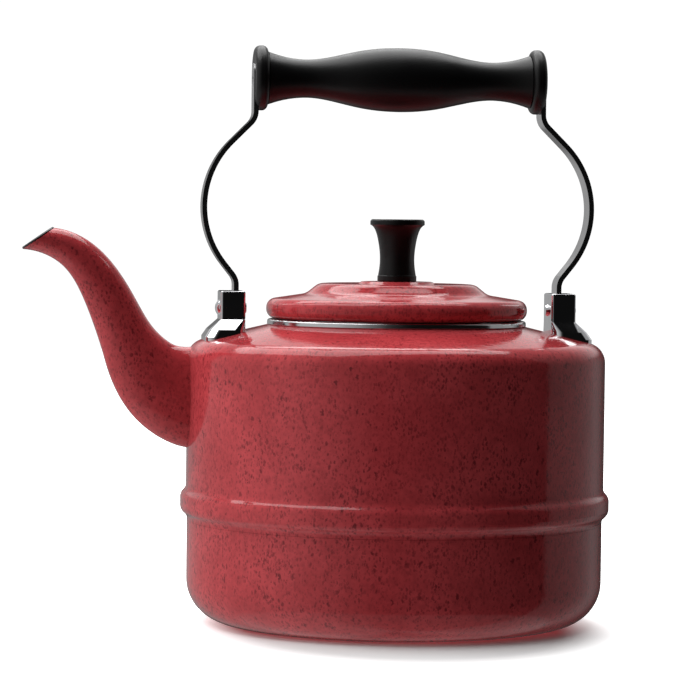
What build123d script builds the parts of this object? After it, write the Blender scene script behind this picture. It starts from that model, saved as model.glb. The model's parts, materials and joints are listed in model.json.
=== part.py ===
from build123d import *
import os
from math import cos, radians, sin, tan

# A stovetop kettle: a two-piece enamelled sheet body, a gooseneck spout, a lift-off lid with a knob,
# and a fixed handle whose grip hangs between two bent steel straps.
# Millimetres. The origin is the centre of the base, +Z is up and the spout points along -X.

# Body sheet
wall = 1.2
upper_radius = 85.6
lower_radius = 85.1
base_corner = 17.5
shoulder_corner = 8.0
shoulder_slope = radians(13.6)
neck_radius = 50.9
neck_height = 122.0
collar_height = 1.0
seam_height = 41.6
lap_height = 57.0
lap_gap = 0.1

# Rolled bead that hides the seam
bead_radius = 87.9
bead_height = 49.0
bead_crown = 6.2
bead_flank = 2.6

# Chrome ring on the neck
ring_outer = 53.0
ring_inner = 48.6
ring_top = 123.8
ring_foot = 117.5

# Lid
lid_radius = 53.4
lid_bottom = 123.95
lid_edge_top = 131.8
lid_edge_round = 3.9
lid_sheet = 1.0
step_foot_radius = 37.2
step_foot_height = 134.35
plateau_radius = 32.0
plateau_height = 138.6
boss_radius = 14.4
boss_height = 139.5
skirt_radius = 47.9
skirt_sheet = 0.8
skirt_bottom = 112.0

# Knob on the lid
ferrule_top = 142.1
ferrule_radius = 8.0
knob_stem_radius = 7.05
knob_lip_radius = 11.15
knob_top = 165.0
knob_bore_radius = 3.5
knob_bore_depth = 12.0
knob_screw_radius = 1.75
clearance_radius = 1.95
screw_head_radius = 4.0
screw_head_height = 2.4
washer_radius = 6.0
washer_thickness = 0.8

# Whistle under the lid, behind the knob
whistle_y = 21.4
whistle_radius = 7.0
whistle_sheet = 0.6
whistle_hole = 1.6
whistle_depth = 6.0

# Handle
grip_axis = 221.8
grip_middle_radius = 13.05
grip_waist_radius = 7.8
grip_waist_x = 37.0
flange_radius = 13.2
flange_neck_radius = 10.1
flange_inner_x = 54.1
grip_half = 59.6
grip_bore_radius = 3.5
grip_bore_depth = 13.0
fit_gap = 0.05
strap_x = 59.0
strap_width = 12.0
strap_thickness = 2.0
strap_gap = 0.1
strap_screw_radius = 1.9
countersink_radius = 3.9
strap_foot_x = 66.4
strap_foot = 124.7
strap_bow_x = 92.0
strap_bow_height = 172.3
strap_upper_bend = 205.3
strap_lower_bend = 140.0
bow_radius = 37.0
bend_radius = 7.0

# Lugs that hold the straps
lug_inner_x = 62.8
lug_outer_x = 72.9
lug_half_depth = 9.5
lug_top = 135.2
foot_outer_x = 79.3
foot_half_depth = 15.0
foot_rim = 116.6
foot_swell = 119.6
foot_top = 123.6
foot_round = 4.6
tower_round = 1.0
rivet_height = 128.2
rivet_radius = 1.9
bolt_radius = 2.45
bolt_head_height = 3.2
bolt_bore_bottom = 110.0
bolt_x = (lug_inner_x + lug_outer_x) / 2

# Spout sections from root to mouth: x, z, lean from upright in degrees, half height, half width
spout_sections = (
    (-80.0, 92.0, 0.0, 20.8, 10.6),
    (-88.2, 92.3, 8.0, 20.0, 10.6),
    (-97.0, 96.6, 24.7, 17.5, 10.6),
    (-104.4, 104.9, 47.8, 14.3, 10.3),
    (-110.3, 115.4, 60.3, 11.3, 9.6),
    (-119.3, 134.5, 63.3, 9.2, 8.4),
    (-131.0, 149.6, 45.6, 7.3, 7.2),
    (-138.0, 153.6, 38.0, 6.5, 6.9),
    (-146.3, 155.6, 55.6, 7.7, 7.2),
)
lip_wire = 0.5

# Strainer behind the spout's root
strainer_hole = 1.75
strainer_pitch = 5.6
strainer_height = 90.0

FRONT, REAR = -1, 1


def shoulder_z(radius):
    """Height of the shoulder's outer face at a distance from the axis."""
    return neck_height - (radius - neck_radius) * tan(shoulder_slope)


def save(part, name):
    """Name a finished piece and write it as its own file."""
    part.label = name
    export_step(part, f"parts/{name}.step")


def body_blank(inset):
    """Solid upper body without its hollow, used to trim what meets the wall and the shoulder."""
    with BuildPart() as blank:
        with BuildSketch(Plane.XZ):
            with BuildLine():
                FilletPolyline(
                    (neck_radius, neck_height),
                    (upper_radius, shoulder_z(upper_radius)),
                    (upper_radius, lap_height),
                    radius=shoulder_corner,
                )
                Polyline(
                    (upper_radius, lap_height),
                    (0, lap_height),
                    (0, neck_height),
                    (neck_radius, neck_height),
                )
            make_face()
            if inset:
                offset(amount=-inset)
        revolve(axis=Axis.Z)
    return blank.part


def sheet_ring(name, outline, rounds, thickness, side=Side.RIGHT):
    """Sheet of revolution: the outer line of its section, rounded at the corners, thickened to one side."""
    with BuildPart() as sheet:
        with BuildSketch(Plane.XZ):
            with BuildLine():
                FilletPolyline(*outline, radius=rounds)
                offset(amount=thickness, side=side)
            make_face()
        revolve(axis=Axis.Z)
    sheet.part.label = name
    return sheet.part


def make_upper_shell():
    """Wall, shoulder, neck collar and rolled bead, with the strainer holes and the lug bolt holes."""
    outline = (
        (neck_radius, neck_height + collar_height),
        (neck_radius, neck_height),
        (upper_radius, shoulder_z(upper_radius)),
        (upper_radius, bead_height + bead_crown / 2 + bead_flank),
        (bead_radius, bead_height + bead_crown / 2),
        (bead_radius, bead_height - bead_crown / 2),
        (lower_radius, bead_height - bead_crown / 2 - bead_flank),
        (lower_radius, seam_height),
    )
    sheet = sheet_ring("upper_shell", outline, (0.4, shoulder_corner, 3.0, 3.5, 3.5, 2.5), wall)
    with BuildPart() as upper_shell:
        add(sheet)
        with BuildSketch(Plane.YZ.offset(-upper_radius - wall)):
            with Locations((0, strainer_height)):
                with GridLocations(strainer_pitch, strainer_pitch, 3, 5):
                    Circle(strainer_hole)
        extrude(amount=4 * wall, mode=Mode.SUBTRACT)
        with BuildSketch(Plane.XY.offset(bolt_bore_bottom)):
            with Locations((-bolt_x, 0), (bolt_x, 0)):
                Circle(bolt_radius + 0.25)
        extrude(amount=neck_height - bolt_bore_bottom, mode=Mode.SUBTRACT)
    save(upper_shell.part, "upper_shell")


def make_base_pan():
    """Lower pan; above the seam its wall steps in and stands inside the upper shell."""
    lap_radius = lower_radius - wall - lap_gap
    step_height = seam_height - 0.05
    with BuildPart() as base_pan:
        with BuildSketch(Plane.XZ):
            with BuildLine():
                FilletPolyline(
                    (0, 0),
                    (lower_radius, 0),
                    (lower_radius, step_height),
                    (lap_radius, step_height),
                    (lap_radius, lap_height),
                    (lap_radius - wall, lap_height),
                    (lap_radius - wall, seam_height + 0.8),
                    (lower_radius - wall, seam_height - 2),
                    (lower_radius - wall, wall),
                    (0, wall),
                    radius=(base_corner, 0.1, 0.1, 0.3, 0.3, 1.0, 1.0, base_corner - wall),
                )
                Line((0, wall), (0, 0))
            make_face()
        revolve(axis=Axis.Z)
    save(base_pan.part, "base_pan")


def section_plane(section):
    """Plane of a spout section; its local Y runs across the spout's height."""
    x, z, lean = section[:3]
    return Plane(origin=(x, 0, z), x_dir=(0, 1, 0), z_dir=(-cos(radians(lean)), 0, sin(radians(lean))))


def spout_solid(inset):
    """Gooseneck swept through its leaning sections, each drawn smaller by the inset."""
    with BuildPart() as gooseneck:
        with BuildLine():
            Spline(*[(section[0], 0, section[1]) for section in spout_sections])
        for section in spout_sections:
            with BuildSketch(section_plane(section)):
                Ellipse(section[4] - inset, section[3] - inset)
        sweep(multisection=True)
    return gooseneck.part


def make_spout():
    """Hollow spout, cut back to the body's outer face."""
    with BuildPart() as spout:
        add(spout_solid(0))
        add(spout_solid(wall), mode=Mode.SUBTRACT)
        add(body_blank(0), mode=Mode.SUBTRACT)
    save(spout.part, "spout")


def make_spout_lip():
    """Black edge bead round the mouth."""
    mouth = section_plane(spout_sections[-1]).offset(lip_wire * 0.55)
    half_height, half_width = spout_sections[-1][3:]
    with BuildPart() as spout_lip:
        with BuildLine(mouth) as edge:
            EllipticalCenterArc((0, 0), half_width - wall / 2, half_height - wall / 2, arc_size=360)
        with BuildSketch(Plane(origin=edge.line @ 0, z_dir=edge.line % 0)):
            Circle(lip_wire)
        sweep()
    save(spout_lip.part, "spout_lip")


def make_neck_ring():
    """Polished ring clamped over the neck collar; the lid rests on its flat top."""
    inner_leg = 1.0
    foot = shoulder_z(ring_outer) + 0.05
    with BuildPart() as neck_ring:
        with BuildSketch(Plane.XZ):
            with BuildLine():
                FilletPolyline(
                    (neck_radius + 0.1, neck_height + collar_height),
                    (neck_radius + 0.1, foot + 0.5),
                    (ring_outer, foot),
                    (ring_outer, ring_top),
                    (ring_inner, ring_top),
                    (ring_inner, ring_foot),
                    (ring_inner + inner_leg, ring_foot),
                    (ring_inner + inner_leg, neck_height + collar_height),
                    radius=(0.1, 0.3, 0.9, 0.5, 0.1, 0.1),
                )
                Line(
                    (ring_inner + inner_leg, neck_height + collar_height),
                    (neck_radius + 0.1, neck_height + collar_height),
                )
            make_face()
        revolve(axis=Axis.Z)
    save(neck_ring.part, "neck_ring")


def make_lug(side, name):
    """Die-cast tower with a flared foot shaped to the shoulder, a slot for the strap and its rivet hole."""
    swell_outer_x = foot_outer_x - 1.9
    swell_half_depth = foot_half_depth - 1.7
    foot_middle = side * (lug_inner_x + foot_outer_x) / 2
    swell_middle = side * (lug_inner_x + swell_outer_x) / 2
    tower_width = lug_outer_x - lug_inner_x
    with BuildPart() as lug:
        with BuildSketch(Plane.XY.offset(shoulder_z(foot_outer_x) - 6)):
            with Locations((foot_middle, 0)):
                RectangleRounded(foot_outer_x - lug_inner_x, 2 * foot_half_depth, foot_round)
        extrude(amount=foot_rim - shoulder_z(foot_outer_x) + 6)
        with BuildSketch(Plane.XY.offset(foot_rim)):
            with Locations((foot_middle, 0)):
                RectangleRounded(foot_outer_x - lug_inner_x, 2 * foot_half_depth, foot_round)
        with BuildSketch(Plane.XY.offset(foot_swell)):
            with Locations((swell_middle, 0)):
                RectangleRounded(swell_outer_x - lug_inner_x, 2 * swell_half_depth, foot_round)
        loft()
        with BuildSketch(Plane.XY.offset(foot_swell)):
            with Locations((swell_middle, 0)):
                RectangleRounded(swell_outer_x - lug_inner_x, 2 * swell_half_depth, foot_round)
        with BuildSketch(Plane.XY.offset(foot_top)):
            with Locations((side * bolt_x, 0)):
                RectangleRounded(tower_width, 2 * lug_half_depth, tower_round)
        loft()
        with BuildSketch(Plane.XY.offset(foot_top - 1)):
            with Locations((side * bolt_x, 0)):
                RectangleRounded(tower_width, 2 * lug_half_depth, tower_round)
        extrude(amount=lug_top - foot_top + 1)
        fillet(lug.faces().sort_by(Axis.Z)[-1].edges(), radius=tower_round - 0.2)
        add(body_blank(0), mode=Mode.SUBTRACT)
        with BuildSketch(Plane.XY.offset(lug_top)):
            with Locations((side * strap_foot_x, 0)):
                Rectangle(strap_thickness + 2 * strap_gap, strap_width + 2 * strap_gap)
        extrude(amount=strap_foot - 0.2 - lug_top, mode=Mode.SUBTRACT)
        with BuildSketch(Plane.YZ):
            with Locations((0, rivet_height)):
                Circle(rivet_radius + fit_gap)
        extrude(amount=side * 2 * lug_outer_x, mode=Mode.SUBTRACT)
        with BuildSketch(Plane.XY.offset(bolt_bore_bottom)):
            with Locations((side * bolt_x, 0)):
                Circle(bolt_radius + fit_gap)
        extrude(amount=strap_foot - 0.8 - bolt_bore_bottom, mode=Mode.SUBTRACT)
    save(lug.part, name)


def make_strap(side, name):
    """Flat steel strip: down from the grip, out round the bow and back in to its lug."""
    with BuildPart() as strap:
        with BuildSketch(Plane.XZ):
            with BuildLine():
                FilletPolyline(
                    (side * strap_x, grip_axis + strap_width / 2),
                    (side * strap_x, strap_upper_bend),
                    (side * strap_bow_x, strap_bow_height),
                    (side * strap_foot_x, strap_lower_bend),
                    (side * strap_foot_x, strap_foot),
                    radius=(bend_radius, bow_radius, bend_radius),
                )
                offset(amount=strap_thickness / 2, side=Side.BOTH, kind=Kind.INTERSECTION)
            make_face()
        extrude(amount=strap_width / 2, both=True)
        with BuildSketch(Plane.YZ):
            with Locations((0, grip_axis)):
                Circle(strap_width / 2)
            with Locations((0, (grip_axis + strap_foot) / 2)):
                Rectangle(strap_width, grip_axis - strap_foot)
        extrude(amount=side * 2 * strap_bow_x, mode=Mode.INTERSECT)
        with BuildSketch(Plane.YZ):
            with Locations((0, grip_axis), (0, rivet_height)):
                Circle(rivet_radius + 0.15)
        extrude(amount=side * 2 * strap_bow_x, mode=Mode.SUBTRACT)
        with BuildSketch(Plane.YZ.offset(side * (strap_x + strap_thickness / 2))):
            with Locations((0, grip_axis)):
                Circle(countersink_radius)
        extrude(amount=-side * strap_thickness, taper=45, mode=Mode.SUBTRACT)
    save(strap.part, name)


def turned_grip():
    """Grip's outer form, turned about X: a swollen middle, two waists and a round flange at each end."""
    groove_x = flange_inner_x - 0.4
    shaft_end_radius = 10.7
    with BuildPart() as turned:
        with BuildSketch(Plane.XZ):
            with BuildLine():
                Spline(
                    (0, grip_axis + grip_middle_radius),
                    (16.1, grip_axis + 11.65),
                    (28.4, grip_axis + 8.95),
                    (grip_waist_x, grip_axis + grip_waist_radius),
                    (48.9, grip_axis + 9.2),
                    (groove_x, grip_axis + shaft_end_radius),
                    tangents=((1, 0), (1, 0.35)),
                )
                FilletPolyline(
                    (groove_x, grip_axis + shaft_end_radius),
                    (groove_x, grip_axis + flange_neck_radius),
                    (flange_inner_x, grip_axis + flange_neck_radius),
                    (flange_inner_x, grip_axis + flange_radius),
                    (grip_half, grip_axis + flange_radius),
                    (grip_half, grip_axis),
                    radius=(0.15, 0.15, 2.2, 2.4),
                )
                Polyline((grip_half, grip_axis), (0, grip_axis), (0, grip_axis + grip_middle_radius))
            make_face()
            mirror(about=Plane.YZ)
        revolve(axis=Axis((0, 0, grip_axis), (1, 0, 0)))
    return turned.part


def make_grip():
    """Moulded grip with a seat for each strap and a bore for each threaded insert."""
    seat_x = strap_x - strap_thickness / 2
    with BuildPart() as grip:
        add(turned_grip())
        for side in (FRONT, REAR):
            with BuildSketch(Plane.YZ.offset(side * seat_x)):
                with Locations((0, grip_axis)):
                    Circle(strap_width / 2 + strap_gap)
                with Locations((0, grip_axis - flange_radius)):
                    Rectangle(strap_width + 2 * strap_gap, 2 * flange_radius)
            extrude(amount=side * 3, mode=Mode.SUBTRACT)
            with BuildSketch(Plane.YZ.offset(side * seat_x)):
                with Locations((0, grip_axis)):
                    Circle(grip_bore_radius)
            extrude(amount=-side * grip_bore_depth, mode=Mode.SUBTRACT)
    save(grip.part, "grip")


def make_grip_inserts():
    """Threaded brass inserts moulded into the ends of the grip."""
    seat_x = strap_x - strap_thickness / 2
    with BuildPart() as inserts:
        for side in (FRONT, REAR):
            with BuildSketch(Plane.YZ.offset(side * (seat_x - 0.1))):
                with Locations((0, grip_axis)):
                    Circle(grip_bore_radius - fit_gap)
                    Circle(strap_screw_radius + fit_gap, mode=Mode.SUBTRACT)
            extrude(amount=-side * (grip_bore_depth - 1))
    save(inserts.part, "grip_inserts")


def make_grip_screws():
    """Countersunk screws that hold the straps to the grip."""
    head_x = strap_x + strap_thickness / 2
    with BuildPart() as screws:
        for side in (FRONT, REAR):
            with BuildSketch(Plane.YZ.offset(side * head_x)):
                with Locations((0, grip_axis)):
                    Circle(countersink_radius - 0.2)
            extrude(amount=-side * (countersink_radius - 0.2 - strap_screw_radius), taper=45)
            with BuildSketch(Plane.YZ.offset(side * (head_x - 1.0))):
                with Locations((0, grip_axis)):
                    Circle(strap_screw_radius)
            extrude(amount=-side * 10)
            with BuildSketch(Plane.YZ.offset(side * head_x)):
                with Locations((0, grip_axis)):
                    Rectangle(0.9, 3.6)
                    Rectangle(3.6, 0.9)
            extrude(amount=-side * 0.9, mode=Mode.SUBTRACT)
    save(screws.part, "grip_screws")


def make_strap_rivets():
    """Round-head rivets through the lugs and the feet of the straps."""
    head_radius, head_height = 3.35, 1.7
    tail_radius, tail_height = 2.5, 1.0
    with BuildPart() as rivets:
        with BuildSketch(Plane.XZ):
            with BuildLine():
                TangentArc(
                    (lug_outer_x + head_height, rivet_height),
                    (lug_outer_x, rivet_height + head_radius),
                    tangent=(0, 1),
                )
                Polyline(
                    (lug_outer_x + head_height, rivet_height),
                    (lug_inner_x - tail_height, rivet_height),
                    (lug_inner_x - tail_height, rivet_height + tail_radius * 0.8),
                    (lug_inner_x, rivet_height + tail_radius),
                    (lug_inner_x, rivet_height + rivet_radius),
                    (lug_outer_x, rivet_height + rivet_radius),
                    (lug_outer_x, rivet_height + head_radius),
                )
            make_face()
        revolve(axis=Axis((0, 0, rivet_height), (1, 0, 0)))
        mirror(about=Plane.YZ)
    save(rivets.part, "strap_rivets")


def lug_stack(name, outer, inner, bottom, top, trimmed=False):
    """One ring or disc under each lug, standing upright inside the shoulder."""
    with BuildPart() as stack:
        with BuildSketch(Plane.XY.offset(bottom)):
            with Locations((FRONT * bolt_x, 0), (REAR * bolt_x, 0)):
                Circle(outer)
                if inner:
                    Circle(inner, mode=Mode.SUBTRACT)
        extrude(amount=top - bottom)
        if trimmed:
            add(body_blank(wall), mode=Mode.INTERSECT)
    save(stack.part, name)


def make_lug_bolts(head_top):
    """Hexagon bolts driven up from inside the body into the lugs."""
    with BuildPart() as bolts:
        with BuildSketch(Plane.XY.offset(head_top - bolt_head_height)):
            with Locations((FRONT * bolt_x, 0), (REAR * bolt_x, 0)):
                RegularPolygon(4.4, 6)
        extrude(amount=bolt_head_height)
        chamfer(bolts.faces().sort_by(Axis.Z)[0:2].edges(), length=0.4)
        with BuildSketch(Plane.XY.offset(head_top)):
            with Locations((FRONT * bolt_x, 0), (REAR * bolt_x, 0)):
                Circle(bolt_radius)
        extrude(amount=strap_foot - 1.2 - head_top)
    save(bolts.part, "lug_bolts")


def make_lug_fastenings():
    """Silicone seals, steel washers and bolts, stacked downwards from the shoulder's inner face."""
    seal_bottom = shoulder_z(bolt_x) - 3.2
    washer_bottom = seal_bottom - 1.0
    lug_stack("lug_seals", 5.5, bolt_radius + 0.15, seal_bottom, neck_height, trimmed=True)
    lug_stack("lug_washers", 5.5, bolt_radius + 0.15, washer_bottom, seal_bottom)
    make_lug_bolts(washer_bottom)


def make_lid_shell():
    """Lid cover: curled edge, sloping rim, step, plateau and boss, with knob hole and steam vent."""
    outline = (
        (0, boss_height),
        (boss_radius, boss_height),
        (boss_radius + 1.6, plateau_height),
        (plateau_radius, plateau_height),
        (step_foot_radius, step_foot_height),
        (lid_radius, lid_edge_top),
        (lid_radius, lid_bottom),
        (ring_inner, lid_bottom),
    )
    rounds = (0.8, 0.8, 5.5, 6.5, lid_edge_round, lid_edge_round)
    sheet = sheet_ring("lid_shell", outline, rounds, lid_sheet)
    with BuildPart() as lid_shell:
        add(sheet)
        with BuildSketch(Plane.XY.offset(boss_height - 4)):
            Circle(clearance_radius)
            with Locations((0, whistle_y)):
                Circle(whistle_hole)
        extrude(amount=6, mode=Mode.SUBTRACT)
    save(lid_shell.part, "lid_shell")


def make_lid_skirt():
    """Skirt that drops into the neck; its flange is gripped on top of the lid's curled edge."""
    flange_z = lid_bottom + lid_sheet + 0.05
    outline = (
        (skirt_radius - 1.2, skirt_bottom),
        (skirt_radius, skirt_bottom + 1.4),
        (skirt_radius, flange_z),
        (skirt_radius + 1.5, flange_z),
    )
    skirt = sheet_ring("lid_skirt", outline, (1.0, 0.1), skirt_sheet, side=Side.LEFT)
    save(skirt, "lid_skirt")


def make_knob():
    """Turned knob: slim stem flaring into a flat round lip, bored for its insert."""
    flare_top = knob_top - 2.3
    stem_foot_radius = 7.75
    with BuildPart() as knob:
        with BuildSketch(Plane.XZ):
            with BuildLine():
                Spline(
                    (stem_foot_radius, ferrule_top),
                    (knob_stem_radius, 148.6),
                    (7.75, 155.6),
                    (8.75, 159.6),
                    (knob_lip_radius, flare_top),
                    tangents=((-0.2, 1), (1, 0.4)),
                )
                Polyline(
                    (knob_lip_radius, flare_top),
                    (knob_lip_radius, knob_top),
                    (0, knob_top),
                    (0, ferrule_top),
                    (stem_foot_radius, ferrule_top),
                )
            make_face()
        revolve(axis=Axis.Z)
        fillet(knob.faces().sort_by(Axis.Z)[-1].edges(), radius=1.1)
        with BuildSketch(Plane.XY.offset(ferrule_top)):
            Circle(knob_bore_radius)
        extrude(amount=knob_bore_depth, mode=Mode.SUBTRACT)
    save(knob.part, "knob")


def make_disc(name, outer, inner, bottom, top, edge=0.0):
    """Plain turned collar or washer on the knob's axis."""
    with BuildPart() as disc:
        with BuildSketch(Plane.XY.offset(bottom)):
            Circle(outer)
            Circle(inner, mode=Mode.SUBTRACT)
        extrude(amount=top - bottom)
        if edge:
            fillet(disc.edges().filter_by(GeomType.CIRCLE).sort_by(SortBy.RADIUS)[-2:], radius=edge)
    save(disc.part, name)


def make_knob_screw():
    """Pan-head screw up through the lid into the knob's insert."""
    head_top = boss_height - lid_sheet - washer_thickness - 0.1
    head_bottom = head_top - screw_head_height
    with BuildPart() as knob_screw:
        with BuildSketch(Plane.XY.offset(head_bottom)):
            Circle(screw_head_radius)
        extrude(amount=screw_head_height)
        fillet(knob_screw.edges().sort_by(Axis.Z)[0], radius=1.2)
        with BuildSketch(Plane.XY.offset(head_top)):
            Circle(knob_screw_radius)
        extrude(amount=ferrule_top + 9 - head_top)
        with BuildSketch(Plane.XY.offset(head_bottom)):
            Rectangle(0.9, 4.2)
            Rectangle(4.2, 0.9)
        extrude(amount=1.2, mode=Mode.SUBTRACT)
    save(knob_screw.part, "knob_screw")


def make_knob_fastenings():
    """Ferrule under the knob, washer under the lid, brass insert in the knob, and the screw."""
    washer_top = boss_height - lid_sheet
    make_disc("knob_ferrule", ferrule_radius, clearance_radius, boss_height, ferrule_top, edge=0.5)
    insert_radius = knob_bore_radius - fit_gap
    insert_top = ferrule_top + knob_bore_depth - 1
    make_disc("knob_insert", insert_radius, knob_screw_radius + fit_gap, ferrule_top + 0.1, insert_top)
    make_disc("knob_washer", washer_radius, clearance_radius, washer_top - washer_thickness, washer_top)
    make_knob_screw()


def make_whistle():
    """Hole-tone whistle: a pierced cup under the lid's steam vent with a second pierced disc inside it."""
    flange_z = plateau_height - lid_sheet
    cup_bottom = flange_z - whistle_depth
    with BuildPart() as cup:
        with BuildSketch(Plane.XZ):
            with BuildLine():
                FilletPolyline(
                    (whistle_hole, cup_bottom),
                    (whistle_radius, cup_bottom),
                    (whistle_radius, flange_z - whistle_sheet),
                    (whistle_radius + 1.4, flange_z - whistle_sheet),
                    radius=(1.2, 0.3),
                )
                offset(amount=whistle_sheet, side=Side.LEFT)
            make_face()
        revolve(axis=Axis.Z)
    save(Pos(0, whistle_y, 0) * cup.part, "whistle_cup")
    with BuildPart() as disc:
        with BuildSketch(Plane.XY.offset(cup_bottom + 3)):
            with Locations((0, whistle_y)):
                Circle(whistle_radius - whistle_sheet)
                Circle(whistle_hole, mode=Mode.SUBTRACT)
        extrude(amount=whistle_sheet)
    save(disc.part, "whistle_disc")


os.makedirs("parts", exist_ok=True)
make_upper_shell()
make_base_pan()
make_spout()
make_spout_lip()
make_neck_ring()
make_lug(FRONT, "lug_front")
make_lug(REAR, "lug_rear")
make_lug_fastenings()
make_strap(FRONT, "strap_front")
make_strap(REAR, "strap_rear")
make_strap_rivets()
make_grip()
make_grip_inserts()
make_grip_screws()
make_lid_shell()
make_lid_skirt()
make_knob()
make_knob_fastenings()
make_whistle()
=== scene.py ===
import json
import math

import bpy
from mathutils import Matrix, Vector

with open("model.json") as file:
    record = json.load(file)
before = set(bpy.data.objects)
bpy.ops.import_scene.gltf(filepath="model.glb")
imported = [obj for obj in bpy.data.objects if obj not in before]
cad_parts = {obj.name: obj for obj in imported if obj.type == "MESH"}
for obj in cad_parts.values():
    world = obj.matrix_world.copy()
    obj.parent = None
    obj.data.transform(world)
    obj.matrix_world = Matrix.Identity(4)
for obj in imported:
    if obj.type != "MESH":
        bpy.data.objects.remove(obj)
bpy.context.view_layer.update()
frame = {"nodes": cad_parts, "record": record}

# Camera: slightly above the lid, turned a little to the spout's side. Metres, degrees and lens millimetres.
CAMERA_DISTANCE = 1.322
CAMERA_HEIGHT = 0.1632
CAMERA_AZIMUTH = -7.5
CAMERA_TARGET = Vector((-0.0187, 0.0025, 0.1112))
CAMERA_ROLL = 0.66
CAMERA_LENS = 165.9
SENSOR_WIDTH = 36.0

# Overhead panel: place, size, power in watts and the point it faces
TOP_PANEL = ((-0.20, 0.40, 1.10), (1.5, 1.2), 20.0, (-0.05, 0.1, 0.0))

# Studio round the kettle: brightness by direction. Bearings are degrees from the camera's side, left
# negative; rises run from -1 straight down to 1 straight up.
BEARINGS = (-180, 180)
RISES = (-1, 1)
LEFT_WALL = (
    (-180, 0.04), (-174, 0.06), (-167, 0.6), (-140, 0.7), (-90, 0.95),
    (-60, 0.95), (-30, 0.46), (-8, 0.06), (12, 0.008), (180, 0.008),
)
LEFT_WALL_POWER = 1.2
LEFT_WALL_GLOSS = 0.5
RIGHT_WALL = ((-180, 0.0), (90.2, 0.0), (91.8, 0.30), (140, 0.38), (158, 0.08), (180, 0.0))
BACK_WALL = ((-180, 1.0), (-140, 0.8), (-105, 0.0), (110, 0.0), (145, 0.8), (180, 1.0))
BACK_WALL_RISE = ((-1.0, 0.05), (0.12, 0.05), (0.24, 1.0), (0.40, 0.8), (0.60, 0.5), (1.0, 0.1))
TABLE_GLOW = ((-1.0, 0.28), (-0.66, 0.28), (-0.60, 0.0), (1.0, 0.0))
BACKDROP_WHITE = 1.05

# Enamel: colours, strength of its reflections, and its flecks. Flecks are cells of a warped pattern, so
# their rates are in cells per metre and their sizes in shares of a cell.
HAZE = 0.3
RED = (0.50, 0.048, 0.056, 1.0)
RED_BRIGHT = (0.62, 0.070, 0.080, 1.0)
MAROON = (0.150, 0.014, 0.019, 1.0)
FLECK_STRETCH = (1.0, 1.0, 0.55)
FLECK_WARP_RATE = 1.7
FLECK_WARP_REACH = 0.9
FLECK_CORE = 0.6
FLECK_FAINTEST = 0.35
CHANCE_BLUR = 0.04
# Rate, size, share of cells that hold a fleck, depth of colour, and whether they gather in patches
FLECK_LAYERS = (
    (1050.0, 0.48, 0.72, 0.75, True),
    (680.0, 0.42, 0.58, 0.80, True),
    (400.0, 0.32, 0.26, 0.85, False),
)

# Metals: colour, lowest and highest roughness, scratch rates along each axis, and scratch depth in metres
METALS = {
    "polished_steel": ((0.66, 0.66, 0.67, 1.0), 0.08, 0.30, (900.0, 4000.0, 120.0), 0.000006),
    "chrome_plating": ((0.80, 0.80, 0.82, 1.0), 0.03, 0.14, (300.0, 300.0, 300.0), 0.000004),
    "plain_steel": ((0.50, 0.50, 0.51, 1.0), 0.22, 0.50, (1500.0, 1500.0, 1500.0), 0.00001),
    "brass": ((0.66, 0.44, 0.16, 1.0), 0.20, 0.45, (1200.0, 1200.0, 1200.0), 0.00001),
}
SMUDGE_SHADE = 0.82

# Edges that turn by more than this many degrees stay sharp
SHARP_EDGE = 30

# Table: its half width, front and back edges, and its painted glow, a white emission that is nil by the
# kettle and full beyond, which cuts the kettle's shadow short; the glow is reached over distances from a
# point beside the axis
TABLE_HALF_WIDTH = 2.5
TABLE_FRONT = -1.2
TABLE_BACK = 2.8
PAINTED_GLOW_MIDDLE = (0.0, 0.03, 0.0)
PAINTED_GLOW_SHAPE = (1.35, 1.0, 0.0)
PAINTED_GLOW_REACH = (0.082, 0.128)
TABLE_PAINTED_GLOW = 0.9


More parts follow.
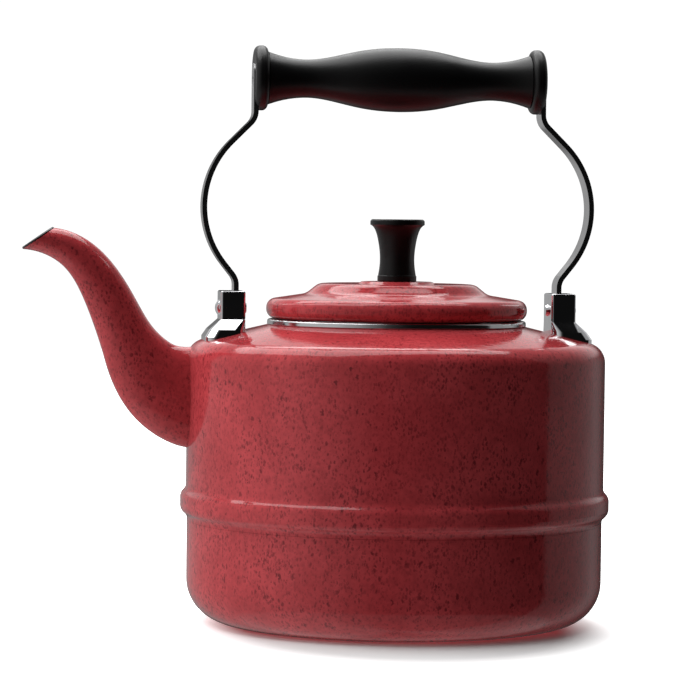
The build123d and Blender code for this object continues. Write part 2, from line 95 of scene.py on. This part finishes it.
class Nodes:
    """Small helper that builds one node material."""

    def __init__(self, name):
        self.material = bpy.data.materials.new(name)
        self.material.use_nodes = True
        self.tree = self.material.node_tree
        self.shader = self.tree.nodes["Principled BSDF"]
        self.coords = self.tree.nodes.new("ShaderNodeTexCoord").outputs["Object"]

    def add(self, kind, **settings):
        node = self.tree.nodes.new(kind)
        for key, value in settings.items():
            setattr(node, key, value)
        return node

    def link(self, source, target):
        self.tree.links.new(source, target)

    def stretched(self, scale, shift=(0.0, 0.0, 0.0), vector=None):
        """Coordinates scaled along each axis, then shifted."""
        mapping = self.add("ShaderNodeMapping")
        mapping.inputs["Scale"].default_value = scale
        mapping.inputs["Location"].default_value = shift
        self.link(vector or self.coords, mapping.inputs["Vector"])
        return mapping.outputs["Vector"]

    def noise(self, scale, detail=2.0, roughness=0.5, vector=None):
        node = self.add("ShaderNodeTexNoise")
        node.inputs["Scale"].default_value = scale
        node.inputs["Detail"].default_value = detail
        node.inputs["Roughness"].default_value = roughness
        self.link(vector or self.coords, node.inputs["Vector"])
        return node.outputs["Fac"]

    def ramp(self, value, low, high, flipped=False):
        """Steepened copy of a value: 0 below low, 1 above high."""
        node = self.add("ShaderNodeMapRange", interpolation_type="SMOOTHSTEP")
        node.inputs["From Min"].default_value = high if flipped else low
        node.inputs["From Max"].default_value = low if flipped else high
        self.link(value, node.inputs["Value"])
        return node.outputs["Result"]

    def scaled(self, value, low, high):
        """Value from 0 to 1 spread between two numbers."""
        node = self.add("ShaderNodeMapRange")
        node.inputs["To Min"].default_value = low
        node.inputs["To Max"].default_value = high
        self.link(value, node.inputs["Value"])
        return node.outputs["Result"]

    def times(self, first, second):
        node = self.add("ShaderNodeMath", operation="MULTIPLY")
        for socket, value in zip(node.inputs, (first, second)):
            if isinstance(value, float):
                socket.default_value = value
            else:
                self.link(value, socket)
        return node.outputs["Value"]

    def mix(self, factor, first, second):
        """Colour between two colours."""
        node = self.add("ShaderNodeMix", data_type="RGBA")
        self.link(factor, node.inputs["Factor"])
        for socket, value in ((node.inputs["A"], first), (node.inputs["B"], second)):
            if isinstance(value, tuple):
                socket.default_value = value
            else:
                self.link(value, socket)
        return node.outputs["Result"]

    def bump(self, height, distance, strength=1.0, under=None):
        node = self.add("ShaderNodeBump")
        node.inputs["Distance"].default_value = distance
        node.inputs["Strength"].default_value = strength
        self.link(height, node.inputs["Height"])
        if under:
            self.link(under, node.inputs["Normal"])
        return node.outputs["Normal"]

    def put(self, **sockets):
        """Set or link the shader's sockets; a name's underscores stand for spaces."""
        for key, value in sockets.items():
            socket = self.shader.inputs[key.replace("_", " ")]
            if isinstance(value, bpy.types.NodeSocket):
                self.link(value, socket)
            else:
                socket.default_value = value


def flecks(nodes, rate, size, share):
    """Dark specks of uneven shape: the cores of some warped cells."""
    warp = nodes.add("ShaderNodeTexNoise")
    warp.inputs["Scale"].default_value = rate * FLECK_WARP_RATE
    warp.inputs["Detail"].default_value = 1.0
    nodes.link(nodes.coords, warp.inputs["Vector"])
    offset = nodes.add("ShaderNodeVectorMath", operation="MULTIPLY_ADD")
    nodes.link(warp.outputs["Color"], offset.inputs[0])
    offset.inputs[1].default_value = (FLECK_WARP_REACH / rate,) * 3
    nodes.link(nodes.coords, offset.inputs[2])
    cells = nodes.add("ShaderNodeTexVoronoi", feature="F1")
    cells.inputs["Scale"].default_value = rate
    nodes.link(nodes.stretched(FLECK_STRETCH, vector=offset.outputs["Vector"]), cells.inputs["Vector"])
    core = nodes.ramp(cells.outputs["Distance"], size * FLECK_CORE, size, flipped=True)
    pick = nodes.add("ShaderNodeSeparateColor")
    nodes.link(cells.outputs["Color"], pick.inputs["Color"])
    chosen = nodes.ramp(pick.outputs["Red"], share - CHANCE_BLUR, share + CHANCE_BLUR, flipped=True)
    depth = nodes.scaled(pick.outputs["Green"], FLECK_FAINTEST, 1.0)
    return nodes.times(nodes.times(core, chosen), depth)


def enamel_material():
    """Glossy vitreous enamel: red glass over a mottled ground, with maroon flecks of three sizes."""
    nodes = Nodes("red_enamel_look")
    cloud = nodes.ramp(nodes.noise(28.0, 4.0, 0.6), 0.35, 0.68)
    mottle = nodes.ramp(nodes.noise(420.0, 3.0, 0.6), 0.35, 0.7)
    colour = nodes.mix(cloud, RED, RED_BRIGHT)
    colour = nodes.mix(nodes.times(mottle, 0.22), colour, MAROON)
    patches = nodes.scaled(nodes.ramp(nodes.noise(55.0, 3.0, 0.6), 0.40, 0.62), 0.45, 1.0)
    for rate, size, share, depth, patchy in FLECK_LAYERS:
        layer = flecks(nodes, rate, size, share)
        if patchy:
            layer = nodes.times(layer, patches)
        colour = nodes.mix(nodes.times(layer, depth), colour, MAROON)
    peel = nodes.bump(nodes.noise(260.0, 2.0), 0.00006)
    ripple = nodes.bump(nodes.noise(45.0, 1.0), 0.00025, 0.6, under=peel)
    nodes.put(
        Base_Color=colour,
        Roughness=nodes.scaled(nodes.noise(90.0, 2.0), 0.07, 0.13),
        Normal=ripple,
        IOR=1.5,
        Specular_IOR_Level=HAZE,
    )
    return nodes.material


def black_edge_material():
    """Black ground enamel left bare on the spout's lip."""
    nodes = Nodes("black_enamel_look")
    worn = nodes.ramp(nodes.noise(700.0, 3.0), 0.62, 0.75)
    nodes.put(
        Base_Color=nodes.mix(worn, (0.008, 0.007, 0.008, 1.0), (0.06, 0.045, 0.045, 1.0)),
        Roughness=nodes.scaled(nodes.noise(500.0), 0.18, 0.4),
        Normal=nodes.bump(nodes.noise(900.0, 2.0), 0.00004),
    )
    return nodes.material


def metal_material(name, colour, smooth, rough, scratch_rates, scratch_depth):
    """Metal with fine handling scratches and fingerprints."""
    nodes = Nodes(name)
    scratches = nodes.noise(1.0, 4.0, 0.6, vector=nodes.stretched(scratch_rates))
    smudges = nodes.noise(70.0, 3.0)
    dull = tuple(channel * SMUDGE_SHADE for channel in colour[:3]) + (1.0,)
    nodes.put(
        Base_Color=nodes.mix(nodes.ramp(smudges, 0.4, 0.75), colour, dull),
        Metallic=1.0,
        Roughness=nodes.scaled(nodes.times(scratches, smudges), smooth, rough),
        Normal=nodes.bump(scratches, scratch_depth),
    )
    return nodes.material


def phenolic_material():
    """Black moulded phenolic: satin, with a fine grain and faintly polished high spots."""
    nodes = Nodes("black_phenolic_look")
    grain = nodes.noise(1800.0, 2.0, 0.6)
    wear = nodes.ramp(nodes.noise(55.0, 4.0, 0.6), 0.45, 0.7)
    nodes.put(
        Base_Color=nodes.mix(wear, (0.003, 0.0028, 0.003, 1.0), (0.006, 0.0055, 0.006, 1.0)),
        Roughness=nodes.scaled(wear, 0.40, 0.30),
        Normal=nodes.bump(grain, 0.00004, 0.9),
        Specular_IOR_Level=0.32,
    )
    return nodes.material


def silicone_material():
    """Pale silicone seals."""
    nodes = Nodes("silicone_look")
    cloud = nodes.noise(120.0, 3.0)
    nodes.put(
        Base_Color=nodes.mix(cloud, (0.62, 0.60, 0.56, 1.0), (0.72, 0.71, 0.68, 1.0)),
        Roughness=nodes.scaled(cloud, 0.5, 0.65),
        Subsurface_Weight=0.1,
        Subsurface_Radius=(0.001, 0.001, 0.001),
    )
    return nodes.material


LOOKS = {
    "red_enamel": enamel_material(),
    "black_enamel": black_edge_material(),
    "polished_steel": metal_material("polished_steel_look", *METALS["polished_steel"]),
    "chrome_plating": metal_material("chrome_look", *METALS["chrome_plating"]),
    "plain_steel": metal_material("plain_steel_look", *METALS["plain_steel"]),
    "brass": metal_material("brass_look", *METALS["brass"]),
    "black_phenolic": phenolic_material(),
    "silicone": silicone_material(),
}


def dress_nodes():
    """Give each CAD node the look of its material slot, and smooth shading that keeps its real edges."""
    for entry in frame["record"]["subparts"]:
        node = frame["nodes"][entry["node"]]
        node.data.materials.clear()
        node.data.materials.append(LOOKS[entry["material_slot"]])
        node.data.shade_smooth()
        node.data.set_sharp_from_angle(angle=math.radians(SHARP_EDGE))


def make_stage():
    """White table under the kettle, with a painted glow that cuts the kettle's shadow short. It sends no
    light up to the body and isn't mirrored in it.
    """
    near = ((-TABLE_HALF_WIDTH, TABLE_FRONT, 0.0), (TABLE_HALF_WIDTH, TABLE_FRONT, 0.0))
    far = ((TABLE_HALF_WIDTH, TABLE_BACK, 0.0), (-TABLE_HALF_WIDTH, TABLE_BACK, 0.0))
    mesh = bpy.data.meshes.new("studio_table")
    mesh.from_pydata([*near, *far], [], [(0, 1, 2, 3)])
    table = bpy.data.objects.new("studio_table", mesh)
    table.visible_diffuse = False
    table.visible_glossy = False
    bpy.context.scene.collection.objects.link(table)
    nodes = Nodes("studio_painted_glow")
    paper = nodes.noise(40.0, 3.0)
    # Painted glow: emission rises from nil near the kettle to full beyond a set reach. This cuts the
    # kettle's real shadow to a chosen size and shape.
    flat = nodes.stretched(PAINTED_GLOW_SHAPE, PAINTED_GLOW_MIDDLE)
    distance = nodes.add("ShaderNodeVectorMath", operation="LENGTH")
    nodes.link(flat, distance.inputs[0])
    painted_glow = nodes.times(nodes.ramp(distance.outputs["Value"], *PAINTED_GLOW_REACH), TABLE_PAINTED_GLOW)
    nodes.put(
        Base_Color=nodes.mix(paper, (0.88, 0.88, 0.88, 1.0), (0.90, 0.90, 0.90, 1.0)),
        Roughness=0.9,
        Specular_IOR_Level=0.0,
        Emission_Color=(1.0, 1.0, 1.0, 1.0),
        Emission_Strength=painted_glow,
    )
    mesh.materials.append(nodes.material)


def add_panel(name, place, size, power, aim):
    """Soft rectangular panel that faces a point."""
    light = bpy.data.lights.new(name, "AREA")
    light.shape = "RECTANGLE"
    light.size, light.size_y = size
    light.energy = power
    lamp = bpy.data.objects.new(name, light)
    lamp.location = place
    lamp.rotation_euler = (Vector(aim) - Vector(place)).to_track_quat("-Z", "Y").to_euler()
    bpy.context.scene.collection.objects.link(lamp)


class StudioWalls:
    """World shader: pale walls whose brightness depends on direction, and plain white for the camera."""

    def __init__(self):
        self.world = bpy.data.worlds.new("studio_walls")
        self.world.use_nodes = True
        self.tree = self.world.node_tree

    def compute(self, operation, first, second=None, third=None):
        node = self.tree.nodes.new("ShaderNodeMath")
        node.operation = operation
        for socket, value in zip(node.inputs, (first, second, third)):
            if isinstance(value, bpy.types.NodeSocket):
                self.tree.links.new(value, socket)
            elif value is not None:
                socket.default_value = value
        return node.outputs["Value"]

    def profile(self, value, span, stops):
        """Brightness along a value that runs over a span."""
        low, high = span
        share = self.compute("DIVIDE", self.compute("SUBTRACT", value, low), high - low)
        node = self.tree.nodes.new("ShaderNodeValToRGB")
        ramp = node.color_ramp
        while len(ramp.elements) < len(stops):
            ramp.elements.new(0.5)
        for element, (place, level) in zip(ramp.elements, stops):
            element.position = (place - low) / (high - low)
            element.color = (level, level, level, 1.0)
        self.tree.links.new(share, node.inputs["Fac"])
        return node.outputs["Color"]

    def build(self):
        direction = self.tree.nodes.new("ShaderNodeTexCoord").outputs["Generated"]
        turned = self.tree.nodes.new("ShaderNodeMapping")
        turned.inputs["Rotation"].default_value = (0.0, 0.0, math.radians(-CAMERA_AZIMUTH))
        self.tree.links.new(direction, turned.inputs["Vector"])
        axes = self.tree.nodes.new("ShaderNodeSeparateXYZ")
        self.tree.links.new(turned.outputs["Vector"], axes.inputs["Vector"])
        right, away, rise = axes.outputs
        bearing = self.compute("ARCTAN2", right, self.compute("MULTIPLY", away, -1.0))
        degrees = self.compute("MULTIPLY", bearing, 180.0 / math.pi)
        path = self.tree.nodes.new("ShaderNodeLightPath")
        glossy_loss = LEFT_WALL_POWER * (LEFT_WALL_GLOSS - 1)
        power = self.compute("MULTIPLY", path.outputs["Is Glossy Ray"], glossy_loss)
        power = self.compute("ADD", power, LEFT_WALL_POWER)
        left = self.compute("MULTIPLY", self.profile(degrees, BEARINGS, LEFT_WALL), power)
        beside = self.compute("MAXIMUM", left, self.profile(degrees, BEARINGS, RIGHT_WALL))
        behind = self.profile(degrees, BEARINGS, BACK_WALL)
        behind = self.compute("MULTIPLY", behind, self.profile(rise, RISES, BACK_WALL_RISE))
        glow = self.profile(rise, RISES, TABLE_GLOW)
        walls = self.compute("ADD", self.compute("MAXIMUM", beside, behind), glow)
        backdrop = self.compute("MULTIPLY", path.outputs["Is Camera Ray"], BACKDROP_WHITE)
        strength = self.compute("MAXIMUM", walls, backdrop)
        background = self.tree.nodes["Background"]
        background.inputs["Color"].default_value = (1.0, 1.0, 1.0, 1.0)
        self.tree.links.new(strength, background.inputs["Strength"])
        return self.world


def light_studio():
    """Overhead panel and pale walls, with colours shown as they are."""
    add_panel("top_panel", *TOP_PANEL)
    bpy.context.scene.world = StudioWalls().build()
    bpy.context.scene.view_settings.view_transform = "Standard"


def place_camera():
    """Camera beside the kettle, aimed at its middle and rolled slightly."""
    azimuth = math.radians(CAMERA_AZIMUTH)
    place = Vector((math.sin(azimuth), -math.cos(azimuth), 0)) * CAMERA_DISTANCE
    place += Vector((0, 0, CAMERA_HEIGHT))
    lens = bpy.data.cameras.new("camera")
    lens.lens = CAMERA_LENS
    lens.sensor_width = SENSOR_WIDTH
    camera = bpy.data.objects.new("camera", lens)
    turn = (CAMERA_TARGET - place).to_track_quat("-Z", "Y").to_matrix()
    roll = Matrix.Rotation(math.radians(CAMERA_ROLL), 3, "Z")
    camera.matrix_world = Matrix.Translation(place) @ (turn @ roll).to_4x4()
    bpy.context.scene.collection.objects.link(camera)
    bpy.context.scene.camera = camera


dress_nodes()
make_stage()
light_studio()
place_camera()
